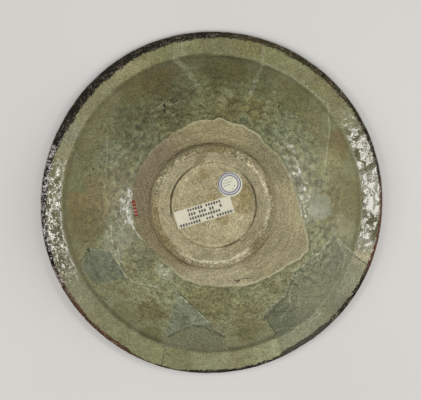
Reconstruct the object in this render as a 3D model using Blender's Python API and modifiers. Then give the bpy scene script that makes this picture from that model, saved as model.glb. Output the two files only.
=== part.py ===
"""A lustreware bowl with a ledge rim and a foot ring, turned over so that it rests on its lip.

Metres, +Z up. The origin is on the bowl's axis, in the plane that the lip rests on, and the
foot ring points up. Two pieces of paper are stuck on the base, inside the foot ring.
"""

import math

import bmesh
import bpy
from mathutils import Matrix, Vector

# Lip and ledge rim: radii are measured from the axis, widths in plan
RIM_RADIUS = 0.1375
RIM_THICKNESS = 0.0056
LAND_WIDTH = 0.0016
LEDGE_WIDTH = 0.0182
LEDGE_SLOPE = 27.0

# Wall: one curve about a centre on the axis, at this slope where it meets the ledge
WALL_SLOPE = 49.0
WALL_THICKNESS = 0.0060

# Foot ring: it leans out by its flare, from its bearing face to the wall
FOOT_RADIUS = 0.0468
FOOT_WIDTH = 0.0054
FOOT_HEIGHT = 0.0068
FOOT_FLARE = 0.0018

# Recess in the foot ring: a sloping side, a turned groove and a flat base
RECESS_DEPTH = 0.0063
RECESS_SIDE_WIDTH = 0.0078
GROOVE_WIDTH = 0.0012
GROOVE_DEPTH = 0.0008

# Inside of the bowl: a flat floor, and one curve from it to the ledge
BASE_THICKNESS = 0.0080
FLOOR_RADIUS = 0.0260

# How far each rounding reaches from its corner
FOOT_ROUNDING = 0.0011
FOOT_CREASE_ROUNDING = 0.0016
LEDGE_CREASE_ROUNDING = 0.0024

# Paper slip, lying across the base, and the round sticker over one of its corners
PAPER_THICKNESS = 0.0003
PAPER_GAP = 0.0003
SLIP_WIDTH = 0.0137
SLIP_TURN = 16.7
SLIP_OFFSET = -0.0027
SLIP_GROOVE_CLEARANCE = 0.0006
SLIP_FAR_CLEARANCE = 0.0171
STICKER_RADIUS = 0.0095
STICKER_ALONG = 0.0026
STICKER_ABOVE = 0.0081

# How finely curves are divided
TURN_STEPS = 80
STICKER_SIDES = 48
CORNER_STEPS = 2
WALL_STEPS = 10
WELL_STEPS = 9
NOSE_STEP = 24.0

# Colours of the glaze, the slip and the sticker
GLAZE_COLOUR = (0.150, 0.150, 0.085, 1.0)
SLIP_COLOUR = (0.620, 0.590, 0.470, 1.0)
STICKER_COLOUR = (0.560, 0.590, 0.600, 1.0)


def clear_scene():
    for old in list(bpy.data.objects):
        bpy.data.objects.remove(old, do_unlink=True)


def new_collection(name):
    collection = bpy.data.collections.new(name)
    bpy.context.scene.collection.children.link(collection)
    return collection


def new_material(name, colour, roughness):
    material = bpy.data.materials.new(name)
    material.use_nodes = True
    shader = material.node_tree.nodes["Principled BSDF"]
    shader.inputs["Base Color"].default_value = colour
    shader.inputs["Roughness"].default_value = roughness
    shader.inputs["Metallic"].default_value = 0.0
    material.diffuse_color = colour
    return material


def new_object(name, shape, material, collection):
    mesh = bpy.data.meshes.new(name)
    shape.to_mesh(mesh)
    shape.free()
    mesh.materials.append(material)
    made = bpy.data.objects.new(name, mesh)
    collection.objects.link(made)
    return made


def arc(centre, radius, start, end, steps):
    """Points (r, z, 0) of an arc, its angles in degrees from straight out, turning up."""
    points = []
    for k in range(steps + 1):
        angle = math.radians(start + (end - start) * k / steps)
        r = centre[0] + radius * math.cos(angle)
        z = centre[1] + radius * math.sin(angle)
        points.append((r, z, 0.0))
    return points


def softened(corners):
    """The outline (r, z), with each corner (r, z, reach) rounded from reach before it to reach past it."""
    outline = []
    for i, (r, z, reach) in enumerate(corners):
        corner = Vector((r, z))
        if reach == 0.0:
            outline.append(corner)
            continue
        before = corner + reach * (Vector(corners[i - 1][:2]) - corner).normalized()
        after = corner + reach * (Vector(corners[i + 1][:2]) - corner).normalized()
        for k in range(CORNER_STEPS + 1):
            t = k / CORNER_STEPS
            outline.append((1 - t) ** 2 * before + 2 * t * (1 - t) * corner + t**2 * after)
    return outline


def inner_corner(corner, slope_a, thickness_a, slope_b, thickness_b):
    """Where the inner faces of two sloping walls meet, under the corner of their outer faces."""
    across_a = Vector((math.sin(slope_a), math.cos(slope_a)))
    across_b = Vector((math.sin(slope_b), math.cos(slope_b)))
    shared = across_a.x * across_b.y - across_a.y * across_b.x
    r = (-thickness_a * across_b.y + thickness_b * across_a.y) / shared
    z = (-thickness_b * across_a.x + thickness_a * across_b.x) / shared
    return corner[0] + r, corner[1] + z


# Heights and radii that follow from the driving sizes, from the lip up to the foot
ledge_slope = math.radians(LEDGE_SLOPE)
wall_slope = math.radians(WALL_SLOPE)
nose_radius = RIM_THICKNESS / 2
nose = (RIM_RADIUS - nose_radius, math.sqrt(nose_radius**2 - (LAND_WIDTH / 2) ** 2))
ledge_end = nose[0] + nose_radius * math.sin(ledge_slope)
ledge_end_height = nose[1] + nose_radius * math.cos(ledge_slope)
crease_radius = RIM_RADIUS - LEDGE_WIDTH
crease_height = ledge_end_height + (ledge_end - crease_radius) * math.tan(ledge_slope)
wall_curve = crease_radius / math.sin(wall_slope)
wall_centre = crease_height - wall_curve * math.cos(wall_slope)
foot_crease_radius = FOOT_RADIUS + FOOT_FLARE
foot_crease_angle = math.degrees(math.acos(foot_crease_radius / wall_curve))
foot_crease_height = wall_centre + math.sqrt(wall_curve**2 - foot_crease_radius**2)
foot_height = foot_crease_height + FOOT_HEIGHT
foot_inner_radius = FOOT_RADIUS - FOOT_WIDTH
base_height = foot_height - RECESS_DEPTH
base_radius = foot_inner_radius - RECESS_SIDE_WIDTH
flat_radius = base_radius - GROOVE_WIDTH
floor_height = base_height - BASE_THICKNESS
well_end = inner_corner(
    (crease_radius, crease_height), ledge_slope, RIM_THICKNESS, wall_slope, WALL_THICKNESS
)


def foot_corners():
    """From the axis out over the base, the groove and the recess's side to the foot's crease."""
    groove_bottom = base_height - GROOVE_DEPTH
    return [
        (0.0, base_height, 0.0),
        (flat_radius, base_height, 0.0),
        (flat_radius + 0.3 * GROOVE_WIDTH, groove_bottom, 0.0),
        (flat_radius + 0.7 * GROOVE_WIDTH, groove_bottom, 0.0),
        (base_radius, base_height, 0.0),
        (foot_inner_radius, foot_height, FOOT_ROUNDING),
        (FOOT_RADIUS, foot_height, FOOT_ROUNDING),
        (foot_crease_radius, foot_crease_height, FOOT_CREASE_ROUNDING),
    ]


def wall_corners():
    """Down the outer wall to the crease of the ledge, without the arc's own two ends."""
    curve = arc((0.0, wall_centre), wall_curve, foot_crease_angle, 90.0 - WALL_SLOPE, WALL_STEPS)
    return curve[1:-1] + [(crease_radius, crease_height, LEDGE_CREASE_ROUNDING)]


def lip_corners():
    """Round the lip, from the ledge's outer face to its inner face, with a flat to stand on."""
    land_angle = math.degrees(math.asin(LAND_WIDTH / 2 / nose_radius))
    outer_start = 90.0 - LEDGE_SLOPE
    outer_end = land_angle - 90.0
    inner_start = -90.0 - land_angle
    inner_end = -90.0 - LEDGE_SLOPE
    outer_steps = math.ceil((outer_start - outer_end) / NOSE_STEP)
    outer = arc(nose, nose_radius, outer_start, outer_end, outer_steps)
    inner = arc(nose, nose_radius, inner_start, inner_end, 1)
    return outer + inner


def well_corners():
    """Up the inside, from the ledge's inner crease to the floor and the axis."""
    rise = floor_height - well_end[1]
    run = well_end[0] - FLOOR_RADIUS
    well_curve = (run**2 + rise**2) / (2 * rise)
    start = math.degrees(math.acos(run / well_curve))
    centre = (FLOOR_RADIUS, floor_height - well_curve)
    curve = arc(centre, well_curve, start, 90.0, WELL_STEPS)
    crease = (well_end[0], well_end[1], LEDGE_CREASE_ROUNDING)
    return [crease] + curve[1:] + [(0.0, floor_height, 0.0)]


def make_bowl(material, collection):
    outline = softened(foot_corners() + wall_corners() + lip_corners() + well_corners())
    shape = bmesh.new()
    previous = None
    for point in outline:
        corner = shape.verts.new((point.x, 0.0, point.y))
        if previous:
            shape.edges.new((previous, corner))
        previous = corner
    bowl = new_object("bowl", shape, material, collection)
    turn = bowl.modifiers.new("turn", "SCREW")
    turn.axis = "Z"
    turn.steps = TURN_STEPS
    turn.render_steps = TURN_STEPS
    turn.use_merge_vertices = True
    turn.merge_threshold = 0.00001
    turn.use_smooth_shade = True
    return bowl


def slip_end_and_length():
    """The slip's near end, short of the groove at its lower corner, and its length from there."""
    lower_edge = SLIP_OFFSET - SLIP_WIDTH / 2
    reach = flat_radius - SLIP_GROOVE_CLEARANCE
    near_end = -math.sqrt(reach**2 - lower_edge**2)
    far_end = math.sqrt(flat_radius**2 - SLIP_OFFSET**2) - SLIP_FAR_CLEARANCE
    return near_end, far_end - near_end


def make_slip(material, collection):
    near_end, length = slip_end_and_length()
    shape = bmesh.new()
    bmesh.ops.create_cube(shape, size=1.0, matrix=Matrix.Diagonal((length, SLIP_WIDTH, PAPER_THICKNESS, 1.0)))
    slip = new_object("paper_slip", shape, material, collection)
    turned = Matrix.Rotation(math.radians(SLIP_TURN), 4, "Z")
    height = base_height + PAPER_GAP + PAPER_THICKNESS / 2
    slip.location = turned @ Vector((near_end + length / 2, SLIP_OFFSET, height))
    slip.rotation_euler = (0.0, 0.0, math.radians(SLIP_TURN))
    return slip


def make_sticker(material, collection):
    near_end, length = slip_end_and_length()
    shape = bmesh.new()
    bmesh.ops.create_cone(
        shape,
        cap_ends=True,
        segments=STICKER_SIDES,
        radius1=STICKER_RADIUS,
        radius2=STICKER_RADIUS,
        depth=PAPER_THICKNESS,
    )
    sticker = new_object("round_sticker", shape, material, collection)
    turned = Matrix.Rotation(math.radians(SLIP_TURN), 4, "Z")
    along = near_end + length + STICKER_ALONG
    across = SLIP_OFFSET + SLIP_WIDTH / 2 + STICKER_ABOVE
    height = base_height + 2 * PAPER_GAP + 1.5 * PAPER_THICKNESS
    sticker.location = turned @ Vector((along, across, height))
    return sticker


def main():
    clear_scene()
    collection = new_collection("lustreware_bowl")
    glaze = new_material("glazed_stonepaste", GLAZE_COLOUR, 0.3)
    slip_paper = new_material("slip_paper", SLIP_COLOUR, 0.8)
    sticker_paper = new_material("sticker_paper", STICKER_COLOUR, 0.7)
    make_bowl(glaze, collection)
    make_slip(slip_paper, collection)
    make_sticker(sticker_paper, collection)


main()
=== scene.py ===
"""The looks of a lustreware bowl that lies upside down on its ledge rim, with its foot ring up.

Lengths are in millimetres until a mesh is placed, radii are measured from the bowl's axis, and
tables round the bowl go by degrees from the right, turning left, as the camera sees it.
"""

import math

import bpy
import numpy as np
from mathutils import Matrix, Vector, noise


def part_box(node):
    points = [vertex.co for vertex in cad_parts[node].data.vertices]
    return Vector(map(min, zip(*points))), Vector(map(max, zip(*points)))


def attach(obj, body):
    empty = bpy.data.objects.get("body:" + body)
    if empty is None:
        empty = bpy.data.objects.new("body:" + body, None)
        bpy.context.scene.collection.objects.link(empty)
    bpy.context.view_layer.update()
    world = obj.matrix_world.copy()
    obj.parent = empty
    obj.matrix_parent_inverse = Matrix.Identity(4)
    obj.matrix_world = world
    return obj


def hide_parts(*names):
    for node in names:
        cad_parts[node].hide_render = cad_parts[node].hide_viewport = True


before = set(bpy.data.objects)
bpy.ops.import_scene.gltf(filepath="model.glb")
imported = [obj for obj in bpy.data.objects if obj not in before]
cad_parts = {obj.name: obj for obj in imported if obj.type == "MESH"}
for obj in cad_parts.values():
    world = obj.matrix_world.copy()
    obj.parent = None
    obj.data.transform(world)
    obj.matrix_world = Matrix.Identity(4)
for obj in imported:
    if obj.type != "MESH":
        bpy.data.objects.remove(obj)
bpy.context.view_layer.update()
bowl_low, bowl_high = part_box("bowl")
slip_low, slip_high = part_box("paper_slip")
sticker_low, sticker_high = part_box("round_sticker")

MM = 0.001

# Camera, in the photograph's place
CAMERA_DISTANCE = 1.55
CAMERA_LENS = 165.3
CAMERA_TILT = (-0.0105, 0.0391)
CAMERA_AIM = Vector((-0.00096, 0.0024, 0))
SENSOR_WIDTH = 36
FAR_END = 50

# Two side boxes that glint on the ledge and just outside the foot, and a high fill: name, direction
# and slant from straight up in degrees, distance, size and power
LAMPS = (
    ("box_right", 5, 56, 1.5, 1.05, 0.44, 11),
    ("box_left", 185, 53, 1.5, 1.1, 0.3, 9),
    ("fill_above", 270, 12, 1.9, 1.1, 1.1, 11),
)
LAMP_AIM = Vector((0, 0, 0.02))
SURROUND_COLOUR = (1, 0.99, 0.97, 1)
SURROUND_STRENGTH = 0.27

# The bowl's sizes
RIM_RADIUS = bowl_high.x / MM
FOOT_TOP = bowl_high.z / MM
RIM_THICKNESS = 5.6
LAND_WIDTH = 1.6
LEDGE_WIDTH = 18.2
LEDGE_SLOPE = math.radians(27)
WALL_SLOPE = math.radians(49)
FOOT_RADIUS = 46.8
FOOT_WIDTH = 5.4
FOOT_FLARE = 1.8
RECESS_DEPTH = 6.3
RECESS_SIDE = 7.8
GROOVE_WIDTH = 1.2
GROOVE_DEPTH = 0.8
BASE_THICKNESS = 8
FLOOR_RADIUS = 26

# The papers' sizes
PAPER_THICKNESS = 0.16
SLIP_LENGTH = 45.5
SLIP_WIDTH = 13.7
SLIP_TURN = math.radians(16.7)
STICKER_RADIUS = (sticker_high.x - sticker_low.x) / 2 / MM

# What follows from the sizes
NOSE = RIM_THICKNESS / 2
NOSE_RADIUS = RIM_RADIUS - NOSE
NOSE_HEIGHT = math.sqrt(NOSE**2 - (LAND_WIDTH / 2) ** 2)
LEDGE_END = NOSE_RADIUS + NOSE * math.sin(LEDGE_SLOPE)
LEDGE_END_HEIGHT = NOSE_HEIGHT + NOSE * math.cos(LEDGE_SLOPE)
CREASE_RADIUS = RIM_RADIUS - LEDGE_WIDTH
CREASE_HEIGHT = LEDGE_END_HEIGHT + (LEDGE_END - CREASE_RADIUS) * math.tan(LEDGE_SLOPE)
WALL_CURVE = CREASE_RADIUS / math.sin(WALL_SLOPE)
WALL_CENTRE = CREASE_HEIGHT - WALL_CURVE * math.cos(WALL_SLOPE)
FOOT_CREASE = FOOT_RADIUS + FOOT_FLARE
FOOT_INNER = FOOT_RADIUS - FOOT_WIDTH
BASE_HEIGHT = FOOT_TOP - RECESS_DEPTH
BASE_RADIUS = FOOT_INNER - RECESS_SIDE
FLAT_RADIUS = BASE_RADIUS - GROOVE_WIDTH
FLOOR_HEIGHT = BASE_HEIGHT - BASE_THICKNESS
WELL_END = (CREASE_RADIUS - 4.46, CREASE_HEIGHT - 4.01)

# How finely the bowl's outline is divided, zone by zone, and how many sides it is turned with
RING_STEP = {
    "base": 2, "groove": 0.4, "recess": 1.1, "foot": 0.7, "wall": 1, "crease": 0.8,
    "ledge": 1.2, "lip": 0.8, "back": 4, "well": 6,
}
SIDES = 520
MERGE_GAP = 0.02

# The groove's bottom: steps out from the flat base, each with its share of the groove's depth
GROOVE_PROFILE = ((0.3, 0.7), (0.6, 1), (0.9, 0.7))

# How finely the papers are divided
SLIP_CELLS = (64, 20)
STICKER_SIDES = 96
STICKER_RINGS = 12
STICKER_RING_GAP = 0.72

# How high the beads of the wall's glaze and the blisters of the ledge's stand
CRAWL_RELIEF = 0.16
BLISTER_RELIEF = 0.13

# How far the lip stands out of a true circle
OUT_OF_ROUND = (
    (0, -0.8), (30, -0.1), (60, -0.1), (90, -0.7), (120, -0.7), (135, -1.3), (150, -1.7), (180, -0.8),
    (195, 0.1), (210, 0.9), (228, 0.9), (240, 0.4), (255, -0.1), (270, -1), (285, -1.4), (295, -1.6),
    (302, -1.9), (315, -1.2), (330, -0.8),
)

# Radius at which the glaze stops short of the foot; its long run at the lower right is the bare tongue
GLAZE_EDGE = (
    (0, 67), (5, 65.7), (16, 64.6), (45, 63.5), (52, 63.7), (60, 65.4), (67, 65.6), (76, 64.7), (83, 67.2),
    (86, 68.4), (89, 66.5), (103, 65.8), (110, 64.2), (116, 64.6), (121, 63.2), (140, 62.8), (161, 62.6),
    (172, 61.7), (190, 60.3), (201, 61.6), (208, 59), (217, 56.8), (236, 57.8), (244, 60.3), (266, 61.8),
    (277, 62.8), (287, 64.4), (298, 67.8), (309, 70.3), (319, 73.6), (325, 76.7), (330, 80.3), (335, 82.6),
    (338, 80.6), (342, 77.6), (346, 74.6), (352, 71.2),
)

# How far the turned groove is filled in, where the photograph shows it fade
GROOVE_FILL = (
    (-20, 0.2), (-12, 0.5), (-4, 0.1), (38, 0), (46, 1), (108, 1), (116, 0.1), (194, 0), (206, 0.9),
    (274, 1), (286, 0.3), (308, 0.3), (316, 1), (328, 0.9), (334, 0.3),
)

# How wide the dark paint of the lip shows from above
LIP_PAINT = (
    (0, 2.2), (20, 2.6), (30, 3.6), (60, 5), (66, 4.4), (80, 4.6), (90, 5.2), (100, 5.6), (118, 6.8),
    (150, 7.6), (165, 5.6), (200, 4), (212, 4.4), (240, 4), (246, 1.2), (258, 1.2), (264, 2.8), (278, 2.8),
    (292, 2.4), (297, 4.8), (312, 5), (320, 3.6), (340, 3.2), (350, 2.2),
)

# Sherds of another tone and restored fills, as outlines in plan
GREY_SHERDS = (
    ((-98, -35), (-81, -35), (-67, -55), (-91, -64), (-103, -52)),
    ((-28, -67), (-4, -91), (9, -104), (0, -99), (-7, -96), (-14, -95), (-23, -98), (-36, -106)),
    (
        (41, -88), (57, -69), (66, -49), (82, -35), (97, -24), (115, -41), (133, -54),
        (112, -92), (60, -131), (52, -108),
    ),
)
PALE_SHERDS = (
    ((75, 2), (78, 8), (90, 7), (93, -2), (95, -9), (74, -11)),
    ((-35, -107), (-23, -99), (-14, -96), (-7, -97), (0, -100), (10, -105), (12, -117), (-41, -114)),
)

# Soft changes of tone in the glaze: centre in plan, size, colour and strength
STAINS = (
    (-94, 4, 19, 120, 107, 67, 0.85), (-99, -16, 17, 104, 94, 54, 0.8),
    (-105, 15, 7, 105, 114, 79, 0.65), (-77, 12, 11, 132, 124, 86, 0.5),
    (-48, -84, 11, 104, 96, 58, 0.7), (28, -100, 13, 102, 99, 56, 0.75),
    (27, -86, 11, 118, 112, 76, 0.7), (46, -64, 5, 85, 84, 52, 0.6), (0, -76, 17, 114, 110, 72, 0.7),
    (12, 74, 12, 101, 95, 57, 0.8), (30, 76, 10, 114, 108, 64, 0.7), (8, 81, 4, 133, 127, 91, 0.8),
    (66, 85, 14, 99, 99, 58, 0.7), (99, 46, 12, 113, 98, 57, 0.7), (104, 0, 22, 115, 108, 69, 0.8),
    (102, -18, 12, 149, 147, 116, 0.6), (16, 108, 12, 89, 85, 46, 0.9), (0, 107, 10, 86, 83, 47, 0.9),
    (3, 96, 7, 86, 84, 48, 0.8), (-44, 98, 14, 97, 88, 48, 0.85), (-62, 90, 12, 107, 101, 59, 0.75),
    (-92, 62, 18, 127, 123, 86, 0.6), (-62, 62, 18, 98, 99, 68, 0.55), (-50, 48, 11, 105, 105, 78, 0.45),
    (-82, 40, 10, 121, 124, 96, 0.5), (-80, 82, 8, 131, 126, 91, 0.7), (-28, 76, 16, 100, 97, 64, 0.75),
    (-38, 76, 6, 106, 101, 68, 0.6), (57, 62, 16, 111, 118, 88, 0.5), (38, 98, 11, 96, 99, 62, 0.7),
    (92, 30, 11, 139, 134, 88, 0.6), (-74, -30, 11, 136, 136, 109, 0.75),
    (-52, -42, 9, 104, 106, 74, 0.7), (-37, -51, 6, 149, 151, 122, 0.95),
    (-69, -88, 13, 110, 109, 70, 0.7), (-48, -106, 11, 96, 92, 49, 0.7), (74, 20, 10, 113, 106, 70, 0.6),
    (-30, 86, 20, 83, 81, 52, 0.35), (-62, 64, 20, 90, 90, 61, 0.3),
)

# Tones round the ledge: direction, half width and softness in degrees, colour and strength
LEDGE_TONES = (
    (315, 14, 6, 123, 119, 86, 0.6), (158, 26, 12, 152, 146, 103, 0.5),
    (285, 18, 10, 151, 153, 114, 0.5), (308, 8, 4, 149, 152, 125, 0.6), (105, 16, 10, 135, 135, 88, 0.4),
    (44, 8, 5, 102, 93, 31, 0.4), (66, 5, 3, 136, 137, 92, 0.5), (76.5, 4.5, 1.5, 124, 120, 76, 0.75),
    (88, 4, 3, 112, 109, 79, 0.5), (101, 3, 2, 152, 150, 116, 0.55), (113, 3, 2, 135, 130, 91, 0.5),
    (122, 6, 4, 161, 153, 114, 0.6), (141, 5, 3, 123, 116, 88, 0.5), (153, 4, 3, 127, 127, 101, 0.6),
    (222, 7, 4, 119, 114, 83, 0.5), (239, 5, 3, 124, 125, 86, 0.5), (249, 2.5, 2, 137, 137, 92, 0.5),
    (258, 4.5, 2, 117, 116, 73, 0.55), (270, 4, 3, 136, 139, 102, 0.5), (280, 3.5, 2, 126, 121, 83, 0.6),
    (297, 4, 2, 169, 172, 139, 0.5), (321.5, 3, 2, 104, 110, 88, 0.75), (330, 4, 2, 145, 144, 117, 0.6),
    (340, 3, 1.5, 171, 161, 127, 0.85),
)

# The same for the wall, clay, foot, recess and lip
# The wall's tones are painted light and shade: paler at the right and left, darker at the top
WALL_TONES = (
    (112, 40, 22, 90, 90, 60, 0.35), (350, 40, 24, 140, 138, 103, 0.4), (192, 30, 20, 123, 118, 82, 0.3),
)
CLAY_TONES = (
    (88, 26, 16, 152, 143, 106, 0.75), (42, 16, 10, 130, 123, 95, 0.6), (322, 22, 9, 136, 127, 98, 0.5),
    (218, 22, 14, 128, 119, 88, 0.6), (272, 18, 12, 167, 158, 132, 0.5),
)
FOOT_TONES = (
    (86, 12, 6, 116, 103, 62, 0.55), (282, 20, 8, 190, 181, 150, 0.3), (112, 20, 10, 114, 102, 74, 0.45),
    (318, 7, 5, 118, 101, 66, 0.5), (205, 32, 14, 128, 112, 76, 0.5),
)
RECESS_TONES = (
    (8, 32, 16, 161, 150, 122, 0.4), (205, 36, 20, 172, 162, 128, 0.4), (318, 18, 10, 156, 145, 108, 0.3),
)
LIP_TONES = (
    (76, 9, 5, 68, 63, 40, 0.5), (305, 11, 5, 70, 67, 60, 0.8), (352, 14, 6, 92, 60, 44, 0.8),
)

# Pale mended joins and wisps, and dark cracks: half width, strength and line in plan
PALE_LINES = (
    (2.8, 0.34, -28, 114, -20, 106, -12, 94), (1.1, 0.5, 41, 112, 64, 101, 79, 89, 88, 81),
    (1.1, 0.55, 92, 77, 93, 62, 91, 50, 88, 26), (2.2, 0.42, 41, 120, 40, 110, 34, 96, 30, 88),
    (0.6, 0.5, -118, 52, -104, 36), (1.1, 0.5, -82.8, -20, -82, -29, -83.3, -35),
    (0.8, 1, -79, -16, -78.7, -24, -77.6, -32, -75.6, -41, -71.6, -49.4, -66.8, -56.2, -61.6, -59.6),
    (0.8, 0.95, -61.6, -59.6, -56, -61, -48.4, -62, -42, -63.4),
    (0.6, 0.7, -74.4, -35, -71.4, -43, -67.6, -49.6), (0.9, 0.35, -82.6, 60, -81.6, 47, -82, 31, -84, 12),
    (0.8, 0.35, -52, 58, -65.5, 43, -73.3, 35, -80, 26), (0.7, 0.8, -28, -67, -4, -91, 9, -103),
    (0.7, 0.4, -37, -105, -29, -68), (0.8, 0.9, 64, -52, 82, -39, 96, -23, 104, -32, 114, -41, 122, -48),
    (0.9, 0.8, 30, -88, 42, -84, 57, -69, 63, -52, 72, -46, 88, -34),
    (0.6, 0.5, 66, -52, 60, -66, 62, -80, 54, -92),
    (0.7, 0.65, 98, -28, 106, -40, 103, -58, 90, -78, 78, -92, 86, -102),
    (0.6, 0.5, 42, -104, 56, -100, 72, -98, 90, -86), (0.6, 0.9, -63, -15, -60, -21, -54, -26),
    (0.7, 0.5, -46, 74, -39, 79, -31, 78, -26, 81), (0.7, 0.45, -45, 69, -36, 73, -30, 70),
)
DARK_LINES = (
    (0.8, 0.75, -34, -105, -29, -101, -23, -98, -14, -95, -7, -96, 0, -99, 9, -105),
    (0.5, 0.6, -26, -67, -2, -92, 9, -105), (0.5, 0.6, -97, -35, -104, -46),
    (0.6, 0.6, -97, -36, -95, -45, -90.6, -56), (0.6, 0.7, -38, -116, -40, -130),
    (0.6, 0.6, 38, 120, 40, 131), (0.7, 0.8, 112, -40, 124, -49), (0.7, 0.6, 42, -88, 51, -104),
    (0.7, 0.5, 46, -84, 63, -85), (0.6, 0.6, 43, -89, 58, -71, 65, -53, 83, -40, 97, -27),
    (0.7, 0.8, -88, -73, -84, -76), (0.4, 0.5, -120, 51, -112, 45), (0.7, 0.5, -3, 116, 10, 117, 26, 114),
)

# White glints along the thick edge of the glaze, painted into its colour as highlights
GLINTS = (
    (0.7, 0.9, -62.8, 12, -62, 8, -61.8, 3), (0.6, 0.6, -64, 11, -67.5, 6, -71, 0, -71.5, -6, -68, -11),
    (0.8, 0.8, -65, 3, -67, -3, -66, -8, -62, -12),
    (0.7, 1, -64.7, -11, -61.3, -15.6, -58, -21, -55.9, -25), (0.5, 0.4, -75, -4, -75, -12, -70, -19),
    (0.6, 0.9, 60, 25, 62, 15, 65, 6.5, 68.5, -2, 70, -7),
    (0.7, 0.8, -119.2, 17.5, -120.6, 4, -120.6, -8, -118, -26, -113.5, -41, -108, -54),
)

# Small pits in the glaze and brown blotches on the base: centre in plan and radius
PITS = (
    (-40, 83, 0.9), (-37, 77, 1.3), (-38.5, 74, 0.9), (-31, 81, 1), (-28, 73, 0.7), (-99, -30, 0.5),
    (-97, -35, 0.6), (-92, 27, 0.6), (-9, 101, 0.6), (52, 78, 0.7), (64, -62, 0.8), (-66, -92, 0.6),
    (86, 12, 0.7), (28, 72, 0.7), (-58, 50, 0.6),
)
BLOTCHES = ((20, 3, 9), (27, 10, 8), (2, 3, 7), (8, -8, 6), (-6, 24, 5))


def aim(thing, place, target, upward):
    """Puts a camera or a lamp at a place, looking at the target, with its top towards upward."""
    back = (place - target).normalized()
    right = upward.cross(back).normalized()
    turn = Matrix((right, back.cross(right), back)).transposed().to_4x4()
    thing.matrix_world = Matrix.Translation(place) @ turn


def add_camera():
    back = Vector((CAMERA_TILT[0], CAMERA_TILT[1], 1)).normalized()
    camera = added(bpy.ops.object.camera_add)
    aim(camera, CAMERA_AIM + CAMERA_DISTANCE * back, CAMERA_AIM, Vector((0, 1, 0)))
    camera.data.lens = CAMERA_LENS
    camera.data.sensor_width = SENSOR_WIDTH
    camera.data.clip_end = FAR_END
    bpy.context.scene.camera = camera


def add_soft_box(name, azimuth, slant, distance, width, height, power):
    """A studio lamp that faces the bowl and shines in its glaze, but isn't seen itself."""
    azimuth = math.radians(azimuth)
    slant = math.radians(slant)
    out = math.sin(slant)
    place = distance * Vector((out * math.cos(azimuth), out * math.sin(azimuth), math.cos(slant)))
    upward = Vector((0, 0, 1)) if out > 0.2 else Vector((0, 1, 0))
    lamp = added(bpy.ops.object.light_add, type="AREA")
    lamp.name = name
    lamp.data.shape = "RECTANGLE"
    lamp.data.size = width
    lamp.data.size_y = height
    lamp.data.energy = power
    lamp.visible_camera = False
    aim(lamp, place, LAMP_AIM, upward)


def add_studio():
    """The lamps and a pale surround."""
    for lamp in LAMPS:
        add_soft_box(*lamp)
    world = bpy.data.worlds.new("pale_surround")
    bpy.context.scene.world = world
    world.use_nodes = True
    background = world.node_tree.nodes["Background"]
    background.inputs["Color"].default_value = SURROUND_COLOUR
    background.inputs["Strength"].default_value = SURROUND_STRENGTH
    bpy.context.scene.view_settings.view_transform = "Standard"


def tone(red, green, blue):
    """A colour named by its screen values, from 0 to 255, as the linear colour that a shader takes."""
    linear = []
    for value in (red, green, blue):
        share = value / 255
        linear.append(share / 12.92 if share <= 0.04045 else ((share + 0.055) / 1.055) ** 2.4)
    return (*linear, 1)


def by_node(operation):
    """A method of a wire that adds a Math node for this operation."""

    def work(wire, *others):
        return wire.maths(operation, wire, *others)

    return work


class Wire:
    """What a node gives, in shader maths: a sum on it adds a Math node."""

    __add__ = __radd__ = by_node("ADD")
    __sub__ = by_node("SUBTRACT")
    __mul__ = __rmul__ = by_node("MULTIPLY")
    __truediv__ = by_node("DIVIDE")
    __abs__ = by_node("ABSOLUTE")
    least = by_node("MINIMUM")
    most = by_node("MAXIMUM")
    whole = by_node("FLOOR")
    rest = by_node("FRACT")

    def __init__(self, finish, socket):
        self.finish = finish
        self.socket = socket

    def __rsub__(self, other):
        return self.maths("SUBTRACT", other, self)

    def maths(self, operation, *values):
        return self.finish.put("Math", {"operation": operation}, dict(enumerate(values)))

    def rise(self, low, high):
        """A smooth step from 0 below low to 1 above high; it falls where low is the larger."""
        values = {"Value": self, "From Min": low, "From Max": high}
        return self.finish.put("MapRange", {"interpolation_type": "SMOOTHSTEP"}, values)

    def lay(self, share, *colour):
        """Lays a share of this colour over the wire's own; the wire gives the outcome from now on."""
        self.socket = self.finish.mix(share, self, colour).socket
        return self

    def band(self, low, high, soft):
        """1 between low and high, with soft edges."""
        return self.rise(low - soft, low + soft) * self.rise(high + soft, high - soft)


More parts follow.
